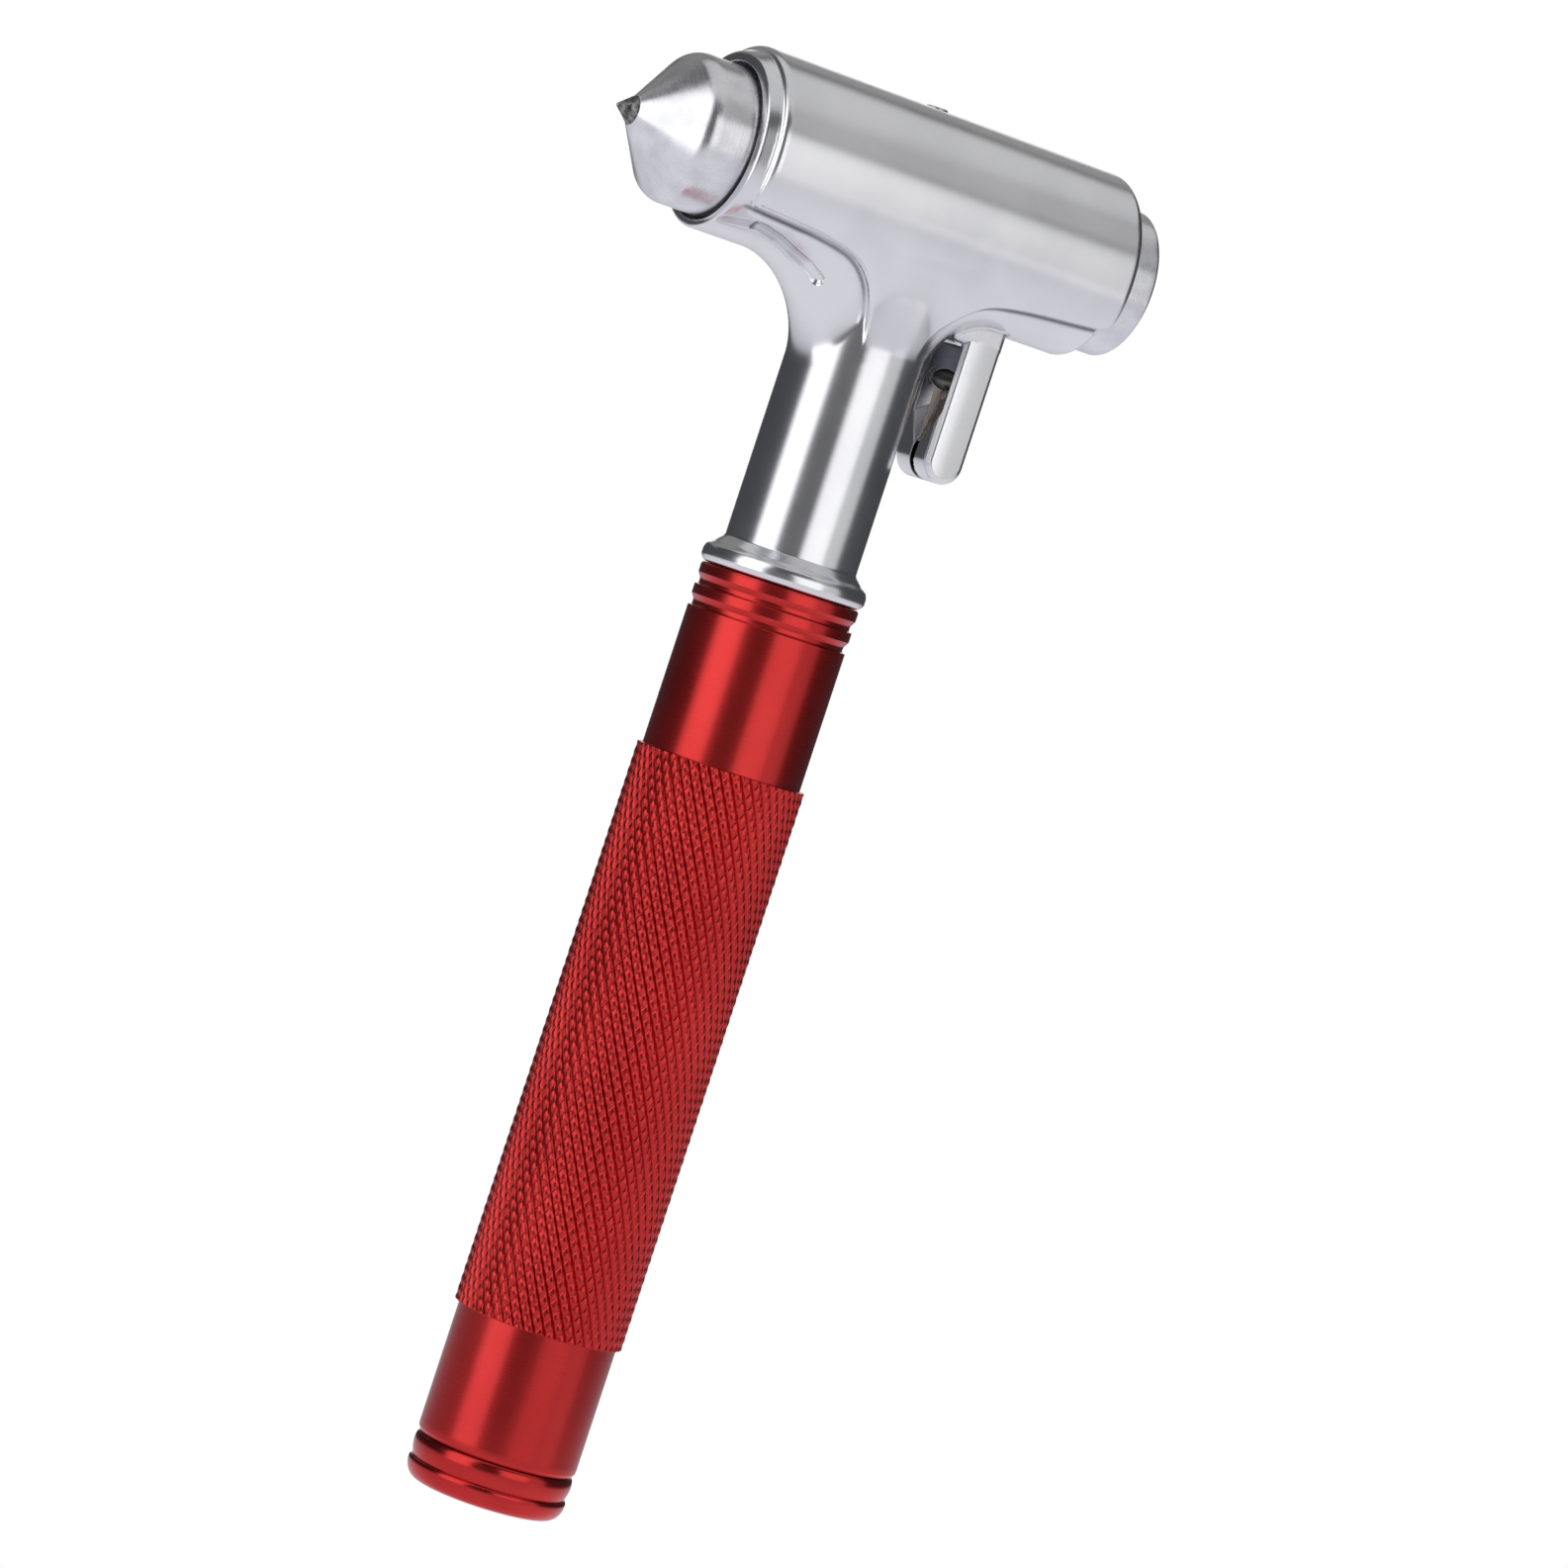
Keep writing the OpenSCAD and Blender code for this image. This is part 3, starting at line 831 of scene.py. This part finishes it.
def knurl():
    """Grooves cut along two helices. A grid that follows both, so each diamond has clean edges."""
    bm = bmesh.new()
    # grid lines within one diamond, across each family of grooves
    diff = WIDE_A - WIDE_B
    ku = [0.0, diff, WIDE_A, 0.5, 1 - WIDE_A, 1 - diff]
    kv = [0.0, WIDE_B, 0.5, 1 - WIDE_B]
    steep = DEEP_A / WIDE_A
    nu, nv = len(ku), len(kv)

    def depth(u, v):
        a = min(u % 1.0, 1 - u % 1.0)
        b = min(v % 1.0, 1 - v % 1.0)
        return max(0.0, (WIDE_A - a) * steep, (WIDE_B - b) * steep)

    # u rises with angle and height, v rises with angle and falls with height
    grid = {}
    rows = ALONG + 2

    def vert(iu, iv):
        """iu and iv count grid lines; the angle is (u + v) / 2 and the height is (u - v) / 2."""
        u = iu // nu + ku[iu % nu]
        v = iv // nv + kv[iv % nv]
        ang, hgt = (u + v) / 2.0, (u - v) / 2.0
        key = (round((ang % STARTS) * 1e5) % (STARTS * 100000), round(hgt * 1e5))
        if key not in grid:
            deep = depth(u, v)
            r = KNURL_R - deep
            if deep < 1e-6:
                r -= CROWN * (abs(u % 1.0 - 0.5) + abs(v % 1.0 - 0.5))
            t = 2 * math.pi * ang / STARTS
            grid[key] = bm.verts.new((r * math.cos(t), r * math.sin(t), KNURL_LOW + hgt * LEAD))
        return grid[key]

    for cu in range(-2, STARTS + rows + 2):
        for cv in range(-2 - rows, STARTS + 2):
            # one cell per diamond, kept once round the handle and within the band
            a, h = (cu + cv + 1) / 2.0, (cu - cv) / 2.0
            if not (0 <= a < STARTS) or not (-0.8 < h < ALONG + 0.8):
                continue
            for i in range(nu):
                for k in range(nv):
                    q = [vert(cu * nu + i, cv * nv + k), vert(cu * nu + i + 1, cv * nv + k),
                         vert(cu * nu + i + 1, cv * nv + k + 1), vert(cu * nu + i, cv * nv + k + 1)]
                    # each quad is cut along the diagonal that points at the diamond's middle
                    ua = (ku + [1.0])[i] + (ku + [1.0])[i + 1]
                    va = (kv + [1.0])[k] + (kv + [1.0])[k + 1]
                    if (ua < 1.0) == (va < 1.0):
                        tris = [(q[0], q[1], q[2]), (q[0], q[2], q[3])]
                    else:
                        tris = [(q[0], q[1], q[3]), (q[1], q[2], q[3])]
                    for t in tris:
                        bm.faces.new(t)
    for z, side in ((KNURL_LOW, -1), (KNURL_TOP, 1)):
        geom = bm.verts[:] + bm.edges[:] + bm.faces[:]
        bmesh.ops.bisect_plane(bm, geom=geom, dist=1e-5, plane_co=(0, 0, z), plane_no=(0, 0, side),
                               clear_outer=True)
    return bm


def edge_loop(bm, z):
    """The open ring of edges at height z."""
    return [e for e in bm.edges if e.is_boundary and all(abs(w.co.z - z) < 1e-3 for w in e.verts)]


def pull(bm, edges, stations):
    """Carries a ring of edges through a list of (radius, height) stations."""
    for r, z in stations:
        got = bmesh.ops.extrude_edge_only(bm, edges=edges)["geom"]
        edges = [g for g in got if isinstance(g, bmesh.types.BMEdge)]
        for w in {w for e in edges for w in e.verts}:
            k = r / math.hypot(w.co.x, w.co.y)
            w.co = (w.co.x * k, w.co.y * k, z)
    return edges


def top_grooves():
    """Two ring grooves under the head: a sloped upper side and a sharp lower edge."""
    groove = [(0.0, -0.78), (0.05, -0.70), (0.42, -0.58), (0.48, -0.45),
              (0.48, 0.05), (0.42, 0.22), (0.06, 0.78), (0.0, 0.88)]
    return [(TUBE_R - cut, zc + dz) for zc in (COLLAR_Z - 5.3, COLLAR_Z - 2.4) for cut, dz in groove]


def handle_tube():
    """The knurl's two open ends are carried round the tube's ends and joined inside it."""
    bm = knurl()
    low, top = CAP_H + 0.12, COLLAR_Z - 0.05
    inner_r, spigot_hole, bolt_hole, seal_seat, thread_r = 8.2, SPIGOT_R + 0.05, 4.2, 9.4, 9.05
    spigot_end = BOLT_SEAT + 5.95
    up = [(KNURL_R - 0.55, KNURL_TOP + 0.10), (TUBE_R + 0.02, KNURL_TOP + 0.12), (TUBE_R, KNURL_TOP + 0.16)]
    up += [(TUBE_R, z) for z in np.linspace(KNURL_TOP + 1.0, COLLAR_Z - 7.0, 8)]
    up += top_grooves() + [(TUBE_R, top - 0.25), (TUBE_R - 0.2, top), (spigot_hole, top)]
    up += [(spigot_hole, spigot_end), (bolt_hole, spigot_end), (bolt_hole, BOLT_SEAT),
           (inner_r, BOLT_SEAT), (inner_r, 60.0)]
    down = [(KNURL_R - 0.55, KNURL_LOW - 0.10), (TUBE_R + 0.02, KNURL_LOW - 0.12), (TUBE_R, KNURL_LOW - 0.16)]
    down += [(TUBE_R, z) for z in np.linspace(KNURL_LOW - 1.0, low + 1.6, 6)]
    down += [(TUBE_R, low + 0.95), (TUBE_R - 0.05, low + 0.6), (TUBE_R - 0.36, low + 0.1),
             (TUBE_R - 0.45, low), (seal_seat + 0.02, low), (seal_seat, low + 0.1),
             (seal_seat, low + 2.8), (thread_r, low + 2.8), (thread_r, low + 10.2),
             (inner_r, low + 10.2), (inner_r, 59.0)]
    a = pull(bm, edge_loop(bm, KNURL_TOP), up)
    b = pull(bm, edge_loop(bm, KNURL_LOW), down)
    bmesh.ops.bridge_loops(bm, edges=a + b)
    bmesh.ops.recalc_face_normals(bm, faces=bm.faces[:])
    me = bpy.data.meshes.new("knurled_tube")
    bmesh.ops.scale(bm, vec=(MM, MM, MM), verts=bm.verts[:])
    bm.to_mesh(me)
    bm.free()
    me.materials.append(RED)
    ob = bpy.data.objects.new("knurled_tube", me)
    bpy.context.scene.collection.objects.link(ob)
    me.polygons.foreach_set("use_smooth", [True] * len(me.polygons))
    me.set_sharp_from_angle(angle=math.radians(12))
    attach(ob, "hammer")
    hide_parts("handle_tube")


handle_tube()


# ---------------------------------------------------------------- tail cap with a real thread

def cap_mesh():
    """The gripped part with its two rounded ridges, and a hollow plug with a 1 mm thread."""
    seg = 144
    plug_end, hollow_end = CAP_H + PLUG_LONG, CAP_H - 2.5
    # each ridge is widest near its top and rounds away below
    prof = [(0.0, 0.0), (4.0, 0.0), (8.0, 0.0)]
    for k in range(13):
        t = math.radians(-90 + 90 * k / 12)
        prof.append((TUBE_R - 1.9 + 1.9 * math.cos(t), 2.5 + 2.5 * math.sin(t)))
    lower_groove = ((0.03, 2.66), (0.10, 2.81), (0.22, 2.93), (0.35, 3.0), (0.41, 3.03))
    prof += [(TUBE_R - drop, z) for drop, z in lower_groove]
    prof += [(TUBE_R - 0.41 * ((5.1 - z) / 2.04) ** 2, z) for z in np.linspace(3.1, 5.1, 9)]
    top_edge = ((0.02, 5.4), (0.07, 5.7), (0.14, 5.9), (0.23, 6.06), (0.33, CAP_H))
    prof += [(TUBE_R - drop, z) for drop, z in top_edge]
    prof += [(8.95, CAP_H), (8.9, CAP_H + 0.1), (8.9, CAP_H + 0.5), (8.1, CAP_H + 0.5),
             (8.1, CAP_H + 2.0), (8.5, CAP_H + 2.0)]
    verts, rows, faces = [], [], []

    def add(ring):
        rows.append(list(range(len(verts), len(verts) + seg)))
        verts.extend(ring)

    for r, z in prof[1:]:
        add(circle(r, z, seg))
    # the thread, which fades out at both ends
    z0, z1, pitch = CAP_H + 2.02, plug_end - 0.25, 1.0
    for z in np.linspace(z0, z1, 150):
        row = []
        fade = max(0.0, min(1.0, (z - z0) / 0.7, (z1 - z) / 0.9))
        for k, (c, s, _) in enumerate(circle(1.0, 0.0, seg)):
            phase = (z / pitch - k / seg) % 1.0
            crest = max(0.0, min(1.0, (abs(phase - 0.5) * 2 - 0.10) / 0.75))
            r = 8.98 - 0.50 * (1 - crest * fade)
            row.append((r * c, r * s, z))
        add(row)
    # the plug's end and its hollow
    for r, z in ((8.2, plug_end), (6.6, plug_end), (6.4, plug_end - 0.2), (6.4, hollow_end + 0.1),
                 (6.2, hollow_end)):
        add(circle(r, z, seg))
    for a, b in zip(rows[:-1], rows[1:]):
        for k in range(seg):
            m = (k + 1) % seg
            faces.append((a[k], a[m], b[m], b[k]))
    verts.append((0.0, 0.0, 0.0))
    faces += [(rows[0][(k + 1) % seg], rows[0][k], len(verts) - 1) for k in range(seg)]
    verts.append((0.0, 0.0, hollow_end))
    faces += [(rows[-1][k], rows[-1][(k + 1) % seg], len(verts) - 1) for k in range(seg)]
    return outward(np.array(verts), faces)


v, f = cap_mesh()
new_object("threaded_tail_cap", v, f, RED_CAP, "tail_cap", "tail_cap", angle=35)


# ---------------------------------------------------------------- CAD pieces that stay as they are

for node, material in (("front_seal_ring", RUBBER), ("rear_seal_ring", RUBBER), ("tail_seal_ring", RUBBER),
                       ("handle_bolt", DARK), ("bolt_washer", ZINC), ("lock_washer", ZINC)):
    me = nodes[node].data
    me.materials.clear()
    me.materials.append(material)


# ---------------------------------------------------------------- studio

def stage_mesh(name, verts, faces, material, camera=True, glossy=True, diffuse=True):
    """A glowing surface of the studio, which casts no shadow."""
    me = bpy.data.meshes.new(name)
    me.from_pydata(verts, [], faces)
    me.materials.append(material)
    ob = bpy.data.objects.new(name, me)
    bpy.context.scene.collection.objects.link(ob)
    ob.visible_camera = camera
    ob.visible_glossy = glossy
    ob.visible_diffuse = diffuse
    ob.visible_shadow = False
    ob.visible_transmission = False
    return ob


def glow(name, color, strength):
    """A material that only shines."""
    m = bpy.data.materials.new(name)
    m.use_nodes = True
    t = m.node_tree
    t.nodes.clear()
    e = t.nodes.new("ShaderNodeEmission")
    e.inputs["Color"].default_value = (*color, 1)
    e.inputs["Strength"].default_value = strength
    o = t.nodes.new("ShaderNodeOutputMaterial")
    t.links.new(e.outputs[0], o.inputs["Surface"])
    return m


def soft_floor():
    """The floor as the metal sees it, which grows darker from 0.5 m to 2.5 m away."""
    m = glow("floor_bounce_surface", (0.93, 0.925, 1.0), 1.0)
    t = m.node_tree
    e = [n for n in t.nodes if n.type == "EMISSION"][0]
    place = t.nodes.new("ShaderNodeTexCoord")
    length = t.nodes.new("ShaderNodeVectorMath")
    length.operation = "LENGTH"
    t.links.new(place.outputs["Object"], length.inputs[0])
    fall = t.nodes.new("ShaderNodeMapRange")
    for s, v in zip(fall.inputs[1:5], (0.50, 2.50, 0.80, 0.42)):
        s.default_value = v
    t.links.new(length.outputs["Value"], fall.inputs[0])
    t.links.new(fall.outputs[0], e.inputs["Strength"])
    return m


def toward(azimuth, elevation):
    """Unit vector for an azimuth and an elevation in degrees."""
    a, e = math.radians(azimuth), math.radians(elevation)
    return Vector((math.cos(a) * math.cos(e), math.sin(a) * math.cos(e), math.sin(e)))


MID = Vector((0.0, 0.0, 0.13))      # the hammer's middle, which the lights face


def panel(name, azimuth, elevation, distance, width, height, radiance, card=False):
    """A soft box, or a card that only reflections show. Its place is seen from the hammer."""
    if card:
        w, h = width / 2, height / 2
        ob = stage_mesh(name, [(-w, -h, 0), (w, -h, 0), (w, h, 0), (-w, h, 0)], [(0, 1, 2, 3)],
                        glow(name + "_surface", (1, 1, 1), radiance), camera=False, diffuse=False)
    else:
        light = bpy.data.lights.new(name, "AREA")
        light.shape = "RECTANGLE"
        light.size, light.size_y = width, height
        light.energy = radiance * math.pi * width * height
        ob = bpy.data.objects.new(name, light)
        bpy.context.scene.collection.objects.link(ob)
        ob.visible_camera = False
    d = toward(azimuth, elevation)
    ob.location = MID + d * distance
    ob.rotation_euler = d.to_track_quat("Z", "Y").to_euler()


world = bpy.data.worlds.new("studio")
world.use_nodes = True
world.node_tree.nodes["Background"].inputs["Color"].default_value = (0.92, 0.94, 1.0, 1)
world.node_tree.nodes["Background"].inputs["Strength"].default_value = 0.062
bpy.context.scene.world = world

# The pale floor that is seen is just clear of the unscrewed tail cap. A softer one below it lights
# the metal and is mirrored in it. The pale backdrop is a sphere. The studio is in metres.
ROUND = [tuple(range(96))]
stage_mesh("floor", circle(7.0, -0.0078, 96), ROUND, glow("floor_pale", (1.0, 1.0, 1.0), 1.0),
           glossy=False, diffuse=False)
stage_mesh("floor_bounce", circle(2.6, -0.25, 96), ROUND, soft_floor(), camera=False)
bm = bmesh.new()
bmesh.ops.create_uvsphere(bm, u_segments=48, v_segments=24, radius=7.2)
me = bpy.data.meshes.new("backdrop")
bm.to_mesh(me)
bm.free()
me.materials.append(glow("backdrop_pale", (1.0, 1.0, 1.0), 1.0))
backdrop = bpy.data.objects.new("backdrop", me)
bpy.context.scene.collection.objects.link(backdrop)
backdrop.visible_glossy = False
backdrop.visible_diffuse = False
backdrop.visible_shadow = False
backdrop.visible_transmission = False

# name, azimuth, elevation and distance, width and height, and how bright
panel("strip_left", 192, 14, 1.3, 1.02, 1.65, 1.35)
panel("strip_right", -83, 11, 1.3, 1.02, 1.02, 1.12)
panel("fill_right", -47, 8, 1.3, 0.62, 1.0, 0.54)
panel("overhead", 250, 88, 1.3, 1.95, 1.95, 0.56)
panel("gap_front", -50, 43, 1.5, 0.90, 0.50, 0.46, card=True)
panel("gap_left", -130, 4, 1.5, 0.85, 1.00, 0.12, card=True)
panel("behind_up", 55, 36, 1.5, 0.85, 0.45, 0.32, card=True)
panel("behind_left", 97, 32, 1.5, 0.95, 0.75, 0.24, card=True)
panel("back_white", 62, 8, 1.6, 0.52, 0.86, 1.25, card=True)


# ---------------------------------------------------------------- camera

roll = math.radians(18.2)
target, away = Vector((0.01003, 0.0, 0.10318)), 0.9275
back = toward(240.0, 2.1)           # from the target to the camera
right = Vector((0, 0, 1)).cross(back).normalized()
up = back.cross(right)
cam_x = right * math.cos(roll) + up * math.sin(roll)
cam_y = up * math.cos(roll) - right * math.sin(roll)
cam = bpy.data.cameras.new("camera")
cam.sensor_width = 36.0
cam.lens = 158.9905
cam.clip_start, cam.clip_end = 0.01, 50
eye = bpy.data.objects.new("camera", cam)
bpy.context.scene.collection.objects.link(eye)
stand = Matrix((cam_x, cam_y, back)).transposed().to_4x4()
stand.translation = target + back * away
eye.matrix_world = stand
bpy.context.scene.camera = eye
bpy.context.scene.view_settings.view_transform = "Standard"
